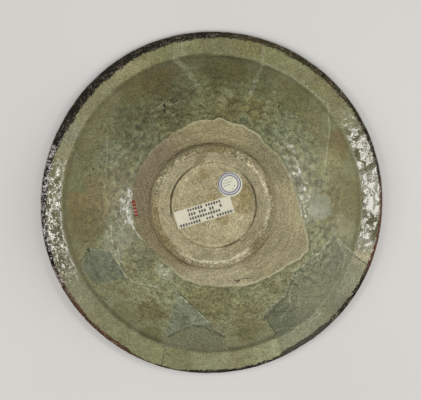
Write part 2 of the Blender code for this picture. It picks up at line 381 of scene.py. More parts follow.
class Finish:
    """A material under its maker's hand. put adds a node, and what it gives is used in sums."""

    def __init__(self, name):
        self.material = bpy.data.materials.new(name)
        self.material.use_nodes = True
        self.tree = self.material.node_tree
        self.shader = self.tree.nodes["Principled BSDF"]
        self.place = self.vector("SCALE", self.put("TexCoord", {}, {}, "Object"), Scale=1 / MM)

    def put(self, kind, settings, values, output=0):
        """A node of this kind, with its settings first and then its sockets' values or links."""
        node = self.tree.nodes.new("ShaderNode" + kind)
        for key, value in settings.items():
            setattr(node, key, value)
        for key, value in values.items():
            self.join(value, node.inputs[key])
        return Wire(self, node.outputs[output])

    def join(self, value, socket):
        """Links a wire, or sets a plain value, which for a colour is its three screen values."""
        if isinstance(value, Wire):
            self.tree.links.new(value.socket, socket)
        else:
            socket.default_value = tone(*value) if socket.type == "RGBA" else value

    def set(self, **values):
        """Values or links for the shader's own sockets, an underscore standing for a space."""
        for key, value in values.items():
            self.join(value, self.shader.inputs[key.replace("_", " ")])

    def vector(self, operation, *values, **named):
        output = "Value" if operation in ("LENGTH", "DISTANCE", "DOT_PRODUCT") else "Vector"
        values = {**dict(enumerate(values)), **named}
        return self.put("VectorMath", {"operation": operation}, values, output)

    def parts(self, vector):
        return [self.put("SeparateXYZ", {}, {0: vector}, k) for k in range(3)]

    def joined(self, x, y, z):
        return self.put("CombineXYZ", {}, {0: x, 1: y, 2: z})

    def mix(self, share, first, second, **settings):
        """The first colour with a share of the second laid over it."""
        return self.put("Mix", {"data_type": "RGBA", **settings}, {0: share, 6: first, 7: second}, 2)

    def shade(self, share, first, second):
        """The first colour darkened or tinted by a share of the second."""
        return self.mix(share, first, second, blend_type="MULTIPLY")

    def grain(self, size, detail=2, place=None, stretch=None, seed=0, rough=0.55):
        """Noise of this grain size, from about -1 to 1."""
        place = place or self.place
        if stretch:
            place = self.vector("MULTIPLY", place, stretch)
        values = {"Vector": place, "W": seed, "Scale": 1 / size, "Detail": detail, "Roughness": rough}
        return self.put("TexNoise", {"noise_dimensions": "4D"}, values) * 4 - 2

    def read(self, name):
        return self.put("Attribute", {"attribute_name": name}, {}, "Fac")

    def pressed(self, height):
        """The surface's normal over a relief whose height is in millimetres."""
        return self.put("Bump", {}, {"Strength": 1, "Distance": MM, "Height": height})


def added(add, **settings):
    """The object that one of Blender's own calls adds, the only one selected."""
    for thing in bpy.context.selected_objects:
        thing.select_set(False)
    add(**settings)
    return bpy.context.object


def between(start, end, step):
    """Points from start to just before end, about a step apart."""
    gap = math.dist(start, end)
    count = max(1, round(gap / step))
    return [
        (start[0] + (end[0] - start[0]) * k / count, start[1] + (end[1] - start[1]) * k / count)
        for k in range(count)
    ]


def bend(centre, radius, start, end, step):
    """Points round a centre, by degrees from straight out, from start to just before end."""
    count = max(1, round(math.radians(abs(end - start)) * radius / step))
    points = []
    for k in range(count):
        angle = math.radians(start + (end - start) * k / count)
        points.append((centre[0] + radius * math.cos(angle), centre[1] + radius * math.sin(angle)))
    return points


def eased(before, corner, after, reach, step):
    """Points round a softened corner, from reach before it to reach past it."""
    corner = Vector(corner)
    first = corner + reach * (Vector(before) - corner).normalized()
    last = corner + reach * (Vector(after) - corner).normalized()
    count = max(2, round(2 * reach / step))
    points = []
    for k in range(count + 1):
        t = k / count
        point = (1 - t) ** 2 * first + 2 * t * (1 - t) * corner + t**2 * last
        points.append((point.x, point.y))
    return points


def bowl_outline():
    """The bowl's outline, from the axis over its foot, wall, ledge and lip, and back inside to the axis.

    Gives its points (radius, height) and how far along it the ledge ends, the lip touches the floor
    and the back of the ledge begins.
    """
    step = RING_STEP
    base_end = (BASE_RADIUS, BASE_HEIGHT)
    foot_in = (FOOT_INNER, FOOT_TOP)
    foot_out = (FOOT_RADIUS, FOOT_TOP)
    foot_angle = math.degrees(math.acos(FOOT_CREASE / WALL_CURVE))
    foot_crease = (FOOT_CREASE, WALL_CENTRE + math.sqrt(WALL_CURVE**2 - FOOT_CREASE**2))
    wall_centre = (0, WALL_CENTRE)
    wall_start = bend(wall_centre, WALL_CURVE, foot_angle - 0.6, foot_angle - 1, 9)[0]
    crease = (CREASE_RADIUS, CREASE_HEIGHT)
    wall_last = bend(wall_centre, WALL_CURVE, 90.9 - math.degrees(WALL_SLOPE), 90, 9)[0]
    ledge_end = (LEDGE_END, LEDGE_END_HEIGHT)
    nose = (NOSE_RADIUS, NOSE_HEIGHT)
    land_angle = math.degrees(math.asin(LAND_WIDTH / 2 / NOSE))
    rise = FLOOR_HEIGHT - WELL_END[1]
    run = WELL_END[0] - FLOOR_RADIUS
    well_curve = (run**2 + rise**2) / (2 * rise)
    well_angle = math.degrees(math.acos(run / well_curve))
    slope = math.degrees(LEDGE_SLOPE)

    points = between((0, BASE_HEIGHT), (FLAT_RADIUS - 0.5, BASE_HEIGHT), step["base"])
    points += between((FLAT_RADIUS - 0.5, BASE_HEIGHT), (FLAT_RADIUS, BASE_HEIGHT), step["groove"])
    points += [(FLAT_RADIUS + out, BASE_HEIGHT - deep * GROOVE_DEPTH) for out, deep in GROOVE_PROFILE]
    points += between(base_end, foot_in, step["recess"])[:-1]
    points += eased(base_end, foot_in, foot_out, 1.1, step["foot"])
    points += between(points[-1], (FOOT_RADIUS - 1.1, FOOT_TOP), step["foot"])[1:]
    points += eased(foot_in, foot_out, foot_crease, 1.1, step["foot"])
    foot_side = eased(foot_out, foot_crease, wall_start, 1.6, step["foot"])
    points += between(points[-1], foot_side[0], step["foot"])[1:] + foot_side
    points += bend(wall_centre, WALL_CURVE, foot_angle - 0.75, 91 - math.degrees(WALL_SLOPE), step["wall"])
    points += eased(wall_last, crease, ledge_end, 2.4, step["crease"])
    points += between(points[-1], ledge_end, step["ledge"])[1:]
    ledge_point = len(points)
    points += bend(nose, NOSE, 90 - slope, land_angle - 90, step["lip"])
    land_point = len(points)
    points += [(NOSE_RADIUS + LAND_WIDTH / 2, 0), (NOSE_RADIUS, 0)]
    points += bend(nose, NOSE, -90 - land_angle, -90 - slope, step["lip"])
    back_point = len(points)
    back_start = (NOSE_RADIUS - NOSE * math.sin(LEDGE_SLOPE), NOSE_HEIGHT - NOSE * math.cos(LEDGE_SLOPE))
    points += between(back_start, WELL_END, step["back"])[:-1]
    well = bend((FLOOR_RADIUS, FLOOR_HEIGHT - well_curve), well_curve, well_angle, 90, step["well"])
    points += eased(back_start, WELL_END, well[1], 2.4, 1.2)
    points += well[1:]
    points += between((FLOOR_RADIUS, FLOOR_HEIGHT), (0, FLOOR_HEIGHT), step["well"]) + [(0, FLOOR_HEIGHT)]
    return points, (ledge_point, land_point, back_point)


def lengths_along(points):
    """How far along the outline each of its points lies."""
    along = [0]
    for first, second in zip(points, points[1:]):
        along.append(along[-1] + math.dist(first, second))
    return along


def turned_shell(name, points, along):
    """A closed shell, turned about the axis from an outline that is drawn point by point."""
    start = (points[0][0] * MM, 0, points[0][1] * MM)
    shell = added(bpy.ops.mesh.primitive_plane_add, size=2 * MM, location=start)
    shell.name = name
    bpy.ops.object.transform_apply(location=True, rotation=False, scale=False)
    bpy.ops.object.mode_set(mode="EDIT")
    bpy.ops.mesh.select_all(action="SELECT")
    bpy.ops.mesh.merge(type="CENTER")
    for first, second in zip(points, points[1:]):
        step = ((second[0] - first[0]) * MM, 0, (second[1] - first[1]) * MM)
        bpy.ops.mesh.extrude_region_move(TRANSFORM_OT_translate={"value": step})
    bpy.ops.object.mode_set(mode="OBJECT")
    save(shell, "along", along)
    turn = shell.modifiers.new("turn", "SCREW")
    turn.steps = SIDES
    turn.render_steps = SIDES
    turn.use_merge_vertices = True
    turn.merge_threshold = MERGE_GAP * MM
    bpy.ops.object.modifier_apply(modifier="turn")
    bpy.ops.object.mode_set(mode="EDIT")
    bpy.ops.mesh.select_all(action="SELECT")
    bpy.ops.mesh.remove_doubles(threshold=MERGE_GAP * MM)
    bpy.ops.mesh.normals_make_consistent(inside=False)
    bpy.ops.object.mode_set(mode="OBJECT")
    bpy.ops.object.shade_smooth()
    return shell


def save(piece, name, values):
    """Keeps one number for each vertex, which the piece's material reads by this name."""
    layer = piece.data.attributes.get(name) or piece.data.attributes.new(name, "FLOAT", "POINT")
    layer.data.foreach_set("value", np.asarray(values, dtype=np.float32))


def read_back(piece, name):
    values = np.empty(len(piece.data.vertices), dtype=np.float32)
    piece.data.attributes[name].data.foreach_get("value", values)
    return values.astype(float)


def triples(items, key):
    values = np.empty(len(items) * 3)
    items.foreach_get(key, values)
    return values.reshape(-1, 3)


def vertex_places(piece):
    return triples(piece.data.vertices, "co") / MM


def move_vertices(piece, places):
    piece.data.vertices.foreach_set("co", (places * MM).ravel())
    piece.data.update()


def step_up(values, low, high):
    """A smooth step from 0 below low to 1 above high."""
    t = np.clip((values - low) / (high - low), 0, 1)
    return t * t * (3 - 2 * t)


def seeded(places, seed):
    """Each place as a vector, moved to a part of the noise that is this seed's own."""
    shift = Vector((seed * 17.3, seed * 5.1, seed * 9.7))
    return [Vector(place) + shift for place in places]


def lumps(places, size, seed, octaves=3):
    """Noise at each place, from about -1 to 1, with lumps of this size."""
    return np.array([noise.fractal(place, 0.9, 2, octaves) for place in seeded(places / size, seed)])


def beads(places, seed):
    """Rounded beads side by side, about one to a unit, from -1 between them to 1 on top."""
    away = np.array([noise.voronoi(place)[0][0] for place in seeded(places, seed)])
    return np.clip(1 - 3.4 * away**2, -1, 1)


def around(table, degrees):
    """A table round the bowl, read at these degrees."""
    angles, values = zip(*table)
    return np.interp(degrees, angles, values, period=360)


def turned_from(degrees, centre):
    """How many degrees each direction lies from this one, either way."""
    return np.abs((degrees - centre + 180) % 360 - 180)


def nearest_on_line(plan, line):
    """Signed distance to the nearest stretch of a line, and the plain distance to it."""
    side = np.full(len(plan), 1e3)
    near = np.full(len(plan), 1e3)
    for start, end in zip(line, line[1:]):
        start = np.array(start, float)
        run = np.array(end, float) - start
        length = math.hypot(*run)
        run = run / length
        offset = plan - start
        forward = np.clip(offset @ run, 0, length)
        across = run[0] * offset[:, 1] - run[1] * offset[:, 0]
        distance = np.hypot(*(offset - forward[:, None] * run).T)
        closer = distance < near
        side[closer] = across[closer]
        near[closer] = distance[closer]
    return side, near


def save_lines(piece, name, plan, table):
    """Keeps the nearest line of a table: how far aside and off, in half widths, and its strength."""
    kept = np.full((3, len(plan)), 1e3)
    for half_width, strength, *line in table:
        side, near = nearest_on_line(plan, list(zip(line[::2], line[1::2])))
        closer = near / half_width < kept[1]
        kept[:2, closer] = side[closer] / half_width, near[closer] / half_width
        kept[2, closer] = strength
    for part, values in zip(("side", "near", "strength"), kept):
        save(piece, name + "_" + part, values)


def save_stains(piece, plan, bent_plan, degrees):
    """Keeps the wall's stains and the ledge's tones, laid one over another, as one colour and its share."""
    on_ledge = step_up(np.hypot(*plan.T), CREASE_RADIUS - 1, CREASE_RADIUS + 1)
    layers = []
    for x, y, size, *colour, strength in STAINS:
        away = np.hypot(*(bent_plan - (x, y)).T)
        layers.append((colour, strength * (1 - on_ledge) * (1 - step_up(away, size * 0.7, size * 1.15))))
    for centre, half, soft, *colour, strength in LEDGE_TONES:
        away = turned_from(degrees, centre)
        layers.append((colour, strength * on_ledge * (1 - step_up(away, half - soft, half + soft))))
    kept = np.zeros((len(plan), 4))
    for colour, share in layers:
        kept += (np.array(tone(*colour)) - kept) * share[:, None]
    kept[:, :3] /= np.maximum(kept[:, 3:], 0.001)
    layer = piece.data.attributes.new("stain", "FLOAT_COLOR", "POINT")
    layer.data.foreach_set("color", kept.astype(np.float32).ravel())


def depth_inside(plan, outlines):
    """How far inside the nearest of these outlines each point lies, or below 0 outside."""
    depth = np.full(len(plan), -1e3)
    for outline in outlines:
        closed = outline + outline[:1]
        near = nearest_on_line(plan, closed)[1]
        inside = np.zeros(len(plan), bool)
        for (x0, y0), (x1, y1) in zip(closed, closed[1:]):
            crosses = (y0 > plan[:, 1]) != (y1 > plan[:, 1])
            reach = x0 + (plan[:, 1] - y0) * (x1 - x0) / (y1 - y0 if y1 != y0 else 1)
            inside ^= crosses & (plan[:, 0] < reach)
        depth = np.maximum(depth, np.where(inside, near, -near))
    return depth


def make_bowl():
    """The turned shell, out of round and worn as the real one is, with what its materials read."""
    points, marks = bowl_outline()
    along = lengths_along(points)
    ledge_end, land, back = (along[k] for k in marks)
    bowl = turned_shell("lustre_bowl", points, along)
    places = vertex_places(bowl)
    normals = triples(bowl.data.vertex_normals, "vector")
    station = read_back(bowl, "along")
    outside = station < land
    radius = np.hypot(places[:, 0], places[:, 1])
    radius_or_one = np.maximum(radius, 1)
    degrees = np.degrees(np.arctan2(places[:, 1], places[:, 0]))
    wide = lumps(places, 42, 1)
    middling = lumps(places, 9, 2)
    fine = lumps(places, 2.6, 3, 2)

    # The glaze ends in a thick irregular edge, with the bare clay lower
    ragged = 1.3 * middling + 0.55 * fine
    from_edge = np.where(outside, radius - around(GLAZE_EDGE, degrees), 60) + ragged
    on_wall = outside * step_up(radius, 49.5, 53)
    clay_drop = 0.45 * on_wall * (1 - step_up(from_edge, -0.9, 0.5))
    edge_bead = 0.22 * on_wall * np.exp(-(((from_edge - 1.1) / 1.1) ** 2))

    # A foot ring that is worn and pitted on its bearing face
    on_foot = outside * step_up(radius, 40.5, 42) * (1 - step_up(radius, 46.6, 47.8))
    foot_wear = np.minimum(on_foot * (0.16 * middling + 0.2 * fine - 0.12), 0)
    crease_cut = 0.35 * outside * np.exp(-(((radius - FOOT_CREASE - 0.2) / 0.7) ** 2))

    # The turned groove, filled in here and there
    in_groove = outside * (np.abs(radius - FLAT_RADIUS - 0.6) < 0.62)
    filled = around(GROOVE_FILL, degrees) + 0.2 * middling
    groove_fill = in_groove * np.clip(filled, 0, 1) * GROOVE_DEPTH

    # A lip with small nicks, and walls that swell a little
    on_lip = step_up(station, ledge_end - 3, ledge_end + 1) * (1 - step_up(station, back, back + 5))
    nicks = 0.5 * on_lip * step_up(middling + 0.6 * fine, 0.35, 0.9)
    swell = 0.3 * wide * step_up(radius, 50, 75) * (1 - step_up(radius, 128, 134))
    by_foot = step_up(radius, 34, 40) * (1 - step_up(radius, 52, 62))
    turning = 0.05 * np.sin(station / 0.9 + 2 * wide) * by_foot
    inner_turning = np.where(outside, 0, 0.12 * np.sin(station / 2.4 + wide))

    # The glaze has crawled into beads, most of all by the foot at the top and the right
    turned = 15 * places[:, :2] / radius_or_one[:, None]
    ringwise = np.column_stack((turned, radius / 3.6))
    beaded = on_wall * step_up(from_edge, 0.5, 4) * (1 - 0.85 * step_up(from_edge, 18, 34))
    upper_right = step_up(places[:, 1] + 0.4 * places[:, 0], -30, 15)
    beaded *= (1 - step_up(radius, 112, 118)) * (0.4 + 0.6 * upper_right)
    crawl = beaded * beads(ringwise + 0.25 * np.stack((middling, wide, fine), axis=1), 20)

    # The thick glaze of the ledge is blistered, most of all at its two glossy sides
    glossy = 1 - step_up(turned_from(degrees, 8), 20, 40)
    glossy += 1 - step_up(turned_from(degrees, 186), 22, 42)
    on_ledge = outside * step_up(radius, CREASE_RADIUS, CREASE_RADIUS + 2) * (1 - on_lip)
    blisters = on_ledge * (0.25 + 0.75 * glossy) * beads(places / 5, 24)

    move = swell + turning + inner_turning + edge_bead - clay_drop - crease_cut
    move = move + foot_wear + groove_fill - nicks
    places += normals * (move + CRAWL_RELIEF * crawl + BLISTER_RELIEF * blisters)[:, None]

    # Out of round towards the lip, and the groove a little off the axis
    bulge = (around(OUT_OF_ROUND, degrees) + 0.25 * middling * on_lip) * step_up(radius, 70, RIM_RADIUS)
    places[:, :2] *= (1 + bulge / radius_or_one)[:, None]
    aside = outside * (1 - step_up(radius, 34.5, 41))
    places[:, :2] += aside[:, None] * np.array((0.7, 0.8))
    lifted = 0.3 * (1 + wide) * step_up(radius, 110, 132)
    places[:, 2] += lifted
    places[:, 2] -= min(0, places[:, 2].min())
    places[:, 2] = np.minimum(places[:, 2], FOOT_TOP)
    reach = np.hypot(places[:, 0], places[:, 1])
    places[:, :2] *= np.minimum(1, (RIM_RADIUS - 0.02) / np.maximum(reach, 1))[:, None]
    low = places[:, 2].min()
    places[:, 2] -= low * (1 - step_up(places[:, 2], 0, 12))
    move_vertices(bowl, places)

    # What the materials read
    plan = vertex_places(bowl)[:, :2]
    wander = np.stack((lumps(places, 16, 21), lumps(places, 16, 22)), axis=1)
    save_stains(bowl, plan, plan + 5 * wander, degrees + 1.6 * middling)
    plan = plan + 0.8 * np.stack((middling, lumps(places, 9, 5)), axis=1)
    width = (around(LIP_PAINT, degrees) - (RIM_RADIUS - LEDGE_END)) / math.cos(LEDGE_SLOPE)
    save(bowl, "crawl", crawl)
    save(bowl, "from_edge", from_edge)
    save(bowl, "lip_paint", np.minimum(station - ledge_end + width, back + 5 - station))
    save(bowl, "grey_sherd", np.where(outside, depth_inside(plan, GREY_SHERDS), -1e3))
    save(bowl, "pale_sherd", np.where(outside, depth_inside(plan, PALE_SHERDS), -1e3))
    save_lines(bowl, "pale_line", plan, PALE_LINES)
    save_lines(bowl, "dark_line", plan, DARK_LINES)
    save_lines(bowl, "glint", plan + 0.7 * np.stack((fine, middling), axis=1), GLINTS)

    # The inside takes its own material
    bowl.data.materials.append(outer_finish())
    bowl.data.materials.append(inner_finish())
    inside = [min(station[corner] for corner in face.vertices) >= land for face in bowl.data.polygons]
    bowl.data.polygons.foreach_set("material_index", np.array(inside, np.int32))
    bowl.data.update()
    return bowl


def outer_finish():
    """Weathered olive glaze on the wall and ledge, bare clay round the foot, dark paint on the lip, and
    painted highlights and shade.
    """
    finish = Finish("weathered_glaze")
    mix, grain, vector, read = finish.mix, finish.grain, finish.vector, finish.read

    def wander(size, detail, reach):
        """A push in plan that wanders, up to about this many millimetres."""
        values = {"Vector": finish.place, "Scale": 1 / size, "Detail": detail, "Roughness": 0.6}
        drift = finish.put("TexNoise", {}, values, 1)
        centred = vector("SUBTRACT", drift, (0.5, 0.5, 0.5))
        return vector("MULTIPLY", centred, (reach * 4, reach * 4, 0))

    def line(name):
        """How strongly a kept set of lines shows here."""
        across = abs(read(name + "_side")).rise(1.1, 0.3)
        return across * read(name + "_near").rise(1.9, 1.3) * read(name + "_strength")

    def sector(degrees, half, soft):
        """1 within half of this direction round the bowl, with soft ends."""
        toward = unit[0] * math.cos(math.radians(degrees)) + unit[1] * math.sin(math.radians(degrees))
        low = math.cos(math.radians(min(half + soft, 179)))
        return toward.rise(low, math.cos(math.radians(max(half - soft, 0.5))))

    def sectors(*rows):
        """The strongest of several sectors, where a fourth number is a sector's strength."""
        strongest = None
        for degrees, half, soft, *strength in rows:
            share = sector(degrees, half, soft)
            share = share * strength[0] if strength else share
            strongest = strongest.most(share) if strongest else share
        return strongest

    def toned(colour, table):
        """The colour with a table's tones laid over it, each in its own direction."""
        for degrees, half, soft, *screen, strength in table:
            colour.lay(sector(degrees, half, soft) * strength, *screen)
        return colour

    def far(x, y):
        """How far a wandering point lies from this one in plan."""
        return vector("DISTANCE", bent_plan, (x, y, 0))

    def streak(start, end, half):
        """1 along a straight streak in plan, fading over its half width."""
        run = (end[0] - start[0], end[1] - start[1], 0)
        length = math.hypot(*run)
        away = vector("SUBTRACT", bent_plan, (*start, 0))
        share = (vector("DOT_PRODUCT", away, run) / length**2).most(0).least(1)
        nearest = vector("SCALE", run, Scale=share)
        return vector("DISTANCE", away, nearest).rise(half, half * 0.4)

    def lit(colour, amount):
        """The colour made lighter or darker by an amount that swings about 0."""
        return vector("SCALE", colour, Scale=(amount + 1).most(0.2))

    def glaze():
        """Wall and ledge: olive and grey-green stains, sherds, joins and pits, with painted highlights and
        shade.
        """
        wall = mix(broad.rise(-0.8, 0.9), (114, 110, 71), (116, 119, 83))
        wall.lay(radius.rise(80, 114) * 0.55, 107, 103, 63)
        wall.lay(south * 0.6, 137, 136, 102)
        wall = toned(wall, WALL_TONES)
        patchy = tint + cloudy * 0.4
        wall.lay(patchy.rise(-0.1, 0.6) * 0.45, 114, 123, 93)
        wall.lay(patchy.rise(0.1, -0.6) * 0.3, 110, 99, 60)
        glaze = mix(on_ledge, wall, ledge(wall))
        stained = finish.put("Attribute", {"attribute_name": "stain"}, {}, "Alpha")
        stained = stained * (cloudy + tint * 0.6).rise(-1.4, 0)
        glaze = mix(stained, glaze, finish.put("Attribute", {"attribute_name": "stain"}, {}, "Color"))
        # Painted highlight: a silvery share laid into the ledge's colour where it glints, with painted
        # shade in the gaps between
        painted_glint_tone = mix(leftward, (170, 166, 159), (184, 179, 162))
        glaze = mix(shine * glinting * (0.44 + leftward * 0.04), glaze, painted_glint_tone)
        glaze.lay(glinting * (1 - shine) * 0.7, 72, 69, 48)
        # Painted shade on the wall just inside the crease under the ledge, stronger towards the bottom
        shade = past_crease.band(-4, -0.8, 1.4) * (0.3 + south * 0.35)
        glaze = finish.shade(shade, glaze, (158, 156, 140))
        # Painted highlight along the crease at the upper right
        light = past_crease.band(-1.4, 1, 1) * sector(58, 30, 14)
        glaze.lay(light * 0.55, 138, 141, 104)
        glaze = sherds(glaze)
        coarse = radius.rise(116, 88) * 0.65 + 0.35
        coarse = coarse * (1 - on_ledge * 0.35) * (1 - pale.rise(-0.5, 0.5) * 0.7)
        # The crawled glaze's beads are paler on their tops and darker between them, partly their own colour
        # and partly painted light and shade over their relief
        glaze = lit(glaze, (strokes * 0.6 + crawl * 0.26) * coarse + tint * 0.14)
        chalk = pale.rise(-0.5, 0.5) * unit[0].rise(0.2, 0.5)
        sandy = speckle * coarse * 0.55 + sand * 0.68
        glaze = lit(glaze, sandy * (1 - shine.most(chalk) * 0.6))
        greener = (strokes + crawl * 0.5).rise(0.2, 1) * coarse
        glaze.lay(greener * 0.35, 127, 135, 105)
        glaze.lay(flecks.rise(0.7, 1.3) * coarse * 0.5, 164, 166, 134)
        glaze.lay(flecks.rise(-0.7, -1.3) * coarse * 0.6, 58, 56, 32)
        # Painted highlights: white glints on beads by the foot and along the glaze's edge
        glaze.lay(glint * 0.85, 200, 200, 188)
        for x, y, size in PITS:
            away = far(x, y) + speckle * 0.4
            glaze.lay(away.rise(size * 1.3, size * 0.6) * 0.95, 34, 32, 18)
        return glaze

    def ledge(wall):
        """The ledge is paler and yellower than the wall."""
        ledge = mix(south, (127, 124, 86), (130, 129, 93))
        ledge = mix(0.15, ledge, wall)
        ledge.lay(tint.rise(-0.1, 0.8) * 0.35, 146, 151, 116)
        return ledge.lay(cloudy.rise(0.1, 0.8) * 0.45, 118, 110, 72)

    def sherds(glaze):
        """Sherds of another tone, and the pale and dark joins between sherds."""
        sherd = mix(cloudy.rise(-0.7, 0.7), (96, 101, 79), (112, 117, 93))
        lower_right = unit[0].rise(0.45, 0.62)
        brighter = mix(broad.rise(-0.6, 0.7), (112, 115, 92), (125, 126, 98))
        sherd = mix(lower_right, sherd, brighter)
        triangle = vector("DISTANCE", plan, (-21, -88, 0)).rise(24, 20)
        sherd.lay(triangle * 0.7, 123, 128, 104)
        blotch = far(-24, -89).rise(6, 3)
        corner = far(52, -90).rise(19, 13)
        sherd.lay(corner.most(blotch) * 0.8, 98, 103, 78)
        glaze = mix(grey.rise(-0.5, 0.4) * (0.88 - on_ledge * 0.45), glaze, sherd)
        heart = far(83, -5).rise(10, 4)
        chalky = mix(heart, (138, 141, 116), (157, 157, 137))
        chalky = mix(unit[0].rise(0.2, 0.5), (117, 117, 91), chalky)
        glaze = mix((pale + tint + flecks * 0.4).rise(-1.2, 0.8) * 0.88, glaze, chalky)
        join = abs(grey + 0.2).rise(0.9, 0.1) * (cloudy + tint).rise(-0.2, 0.9)
        glaze.lay((join * 0.4).most(crack), 156, 158, 128)
        dark = abs(grey + 0.9).rise(0.8, 0.1) * (tint + cloudy * 0.5).rise(-0.1, 0.6) * 0.6
        return glaze.lay(dark.most(dark_crack * 1.15), 58, 56, 34)

    def clay():
        """Bare clay from the glaze's edge in to the middle of the base."""
        # Paler towards the lower right and darker at the upper left: partly the clay's own tint, partly
        # painted light from the right
        toward_right = unit[0] * 0.66 - unit[1] * 0.75
        clay = mix(toward_right.rise(-0.8, 0.8), (137, 127, 98), (160, 151, 118))
        clay.lay(sector(158, 38, 24) * (0.65 + cloudy * 0.3), 127, 115, 92)
        clay = toned(clay, CLAY_TONES)
        # Painted shade on the clay next to the foot's crease, deeper at the lower left
        shade_by_foot = radius.rise(54, 49.5) * (0.16 + cloudy * 0.25 + sector(236, 20, 12) * 0.3)
        clay.lay(shade_by_foot, 118, 104, 74)
        clay = mix(radius.rise(FOOT_RADIUS + 1.6, FOOT_RADIUS + 0.2), clay, foot())
        clay = mix(radius.rise(FOOT_INNER + 0.7, FOOT_INNER - 0.6), clay, recess())
        clay = mix(radius.rise(FLAT_RADIUS + 1.2, FLAT_RADIUS + 0.2), clay, base())
        clay = cut_lines(clay)
        clay = lit(clay, rings * 0.2 + cloudy * 0.12 + strokes * 0.12)
        clay = lit(clay, speckle * 0.13 + sand * 0.55 - 0.012)
        clay.lay(flecks.rise(0.8, 1.4) * 0.25, 190, 182, 150)
        return clay.lay(flecks.rise(-0.9, -1.5) * 0.2, 84, 72, 48)

    def foot():
        """The worn bearing face: a pale inner edge and pale chips on a browner skin."""
        foot = mix(cloudy.rise(-0.9, 0.9), (131, 121, 91), (148, 139, 109))
        at = radius + tint * 0.4 + flecks * 0.15
        worn = sectors((14, 34, 10), (272, 40, 8), (348, 10, 6))
        edge = at.band(41.5, 44, 0.7)
        edge = edge * (worn + sector(280, 22, 8) * 0.4).most(sector(140, 26, 10) * 0.5)
        foot.lay(edge * (0.62 + tint * 0.3), 198, 190, 160)
        chipped = sectors((62, 15, 8), (138, 22, 12, 0.8), (276, 34, 10, 0.4))
        chips = (flecks * 1.1 + speckle * 0.8 + chipped * 0.3).rise(0.3, 0.8)
        foot.lay(chips * (0.2 + chipped * 0.5), 194, 186, 155)
        hollows = (flecks + strokes * 0.6).rise(-0.4, -1.1)
        foot.lay(hollows * 0.6, 88, 74, 48)
        foot = lit(foot, sand * 0.34 + speckle * 0.18)
        return toned(foot, FOOT_TONES)

    def recess():
        """The sloping side of the recess, smoother than the foot."""
        recess = mix(cloudy.rise(-1, 1), (159, 150, 119), (171, 162, 130))
        recess = toned(recess, RECESS_TONES)
        return recess.lay(streak((-4, 44), (-13, 34), 3.4) * 0.55, 112, 98, 60)

    def base():
        """The flat base in the recess, blotched paler and browner."""
        base = mix(broad.rise(-0.9, 0.9), (158, 148, 115), (172, 162, 129))
        paler = far(12, -12).rise(17, 8)
        base.lay(paler * 0.55, 181, 171, 136)
        for x, y, size in BLOTCHES:
            base.lay(far(x, y).rise(size * 1.2, size * 0.6) * 0.6, 138, 124, 82)
        base.lay(cloudy.rise(0.1, 0.9) * 0.45, 184, 174, 141)
        return base.lay(cloudy.rise(-0.1, -1) * 0.45, 144, 131, 92)

    def cut_lines(clay):
        """Painted shade as dark lines in the groove and the foot's crease, and a dark line along one crack
        in the clay.
        """
        from_groove = vector("DISTANCE", plan, (0.7, 0.8, 0)) - (FLAT_RADIUS + 0.6)
        line = abs(from_groove + cloudy * 0.25).rise(0.95, 0.45)
        strong = sectors((12, 30, 8), (156, 36, 8), (296, 12, 5, 0.8), (345, 12, 6, 0.5))
        kept = strong * 0.9 * (0.8 + tint * 0.5)
        # Painted shade in the groove
        clay.lay(line * kept, 50, 41, 27)
        inner_side = (from_groove + cloudy * 0.25).band(-2.6, -0.9, 0.8)
        clay.lay(inner_side * 0.25, 190, 180, 146)
        from_crease = radius - (FOOT_CREASE + 0.2) + cloudy * 0.25
        line = abs(from_crease + flecks * 0.1).rise(0.55, 0.1)
        strong = sectors(
            (104, 24, 12), (226, 26, 14, 0.7), (50, 14, 8, 0.5), (319, 9, 6), (175, 16, 10, 0.4)
        )
        # Painted shade in the foot's crease
        clay.lay(line * (0.2 + strong * 0.75) * (0.8 + tint * 0.6), 58, 47, 30)
        slit = streak((19.5, -58.5), (29.5, -56), 0.9) * (0.8 + tint * 0.6)
        return clay.lay(slit, 48, 40, 26)

    def glaze_edge(colour):
        """A pale broken line along the end of the glaze, partly its thick edge and partly painted
        highlight, with a darker run beside it.
        """
        light = from_edge.band(-0.8, 0.5, 0.4)
        where = sectors((318, 34, 14), (20, 26, 14, 0.5), (245, 12, 8, 0.7), (80, 26, 10, 0.8))
        colour.lay(light * (0.12 + where * 0.6 + tint * 0.25), 180, 174, 142)
        dark = from_edge.band(0.8, 2.2, 0.6) * (0.35 + tint * 0.5)
        return colour.lay(dark, 76, 72, 44)

    def red_strokes(colour):
        """Five plain red strokes on the clay's edge at the left."""
        away = vector("ADD", plan, (61.5, -4.6, 0))
        down = vector("DOT_PRODUCT", away, (0.225, -0.974, 0))
        across = vector("DOT_PRODUCT", away, (0.974, 0.225, 0))
        beat = down.maths("PINGPONG", down, 1.35)
        marks = down.band(0.3, 13.4, 0.2) * beat.rise(0.35, 0.7) * across.band(-1.2, 1.3, 0.25)
        ground = down.band(5.5, 13.4, 0.5) * across.band(-0.9, 1, 0.4)
        colour.lay(ground * 0.4, 196, 186, 164)
        return colour.lay(marks * 0.95, 146, 26, 30)

    def lip():
        """The lip's dark paint: redder at the lower left, browner at the top right, with painted highlights
        on its worn specks at the left.
        """
        mottle = flecks + tint * 0.4
        lip = mix(mottle.rise(-0.4, 1.2), (12, 8, 9), (46, 36, 36))
        lip.lay(sector(226, 20, 8) * mottle.rise(-1, 0.4) * 0.9, 88, 56, 42)
        lip.lay(sector(50, 22, 8) * mottle.rise(-1, 0.6) * 0.8, 66, 58, 35)
        lip = toned(lip, LIP_TONES)
        specks = (flecks * 0.8 + sand * 0.8 + cloudy * 0.4).rise(0.3, 0.7)
        lip.lay(specks * 0.8, 134, 124, 104)
        # Painted highlights on the worn specks
        return lip.lay(lip_glints() * 0.85, 186, 178, 172)

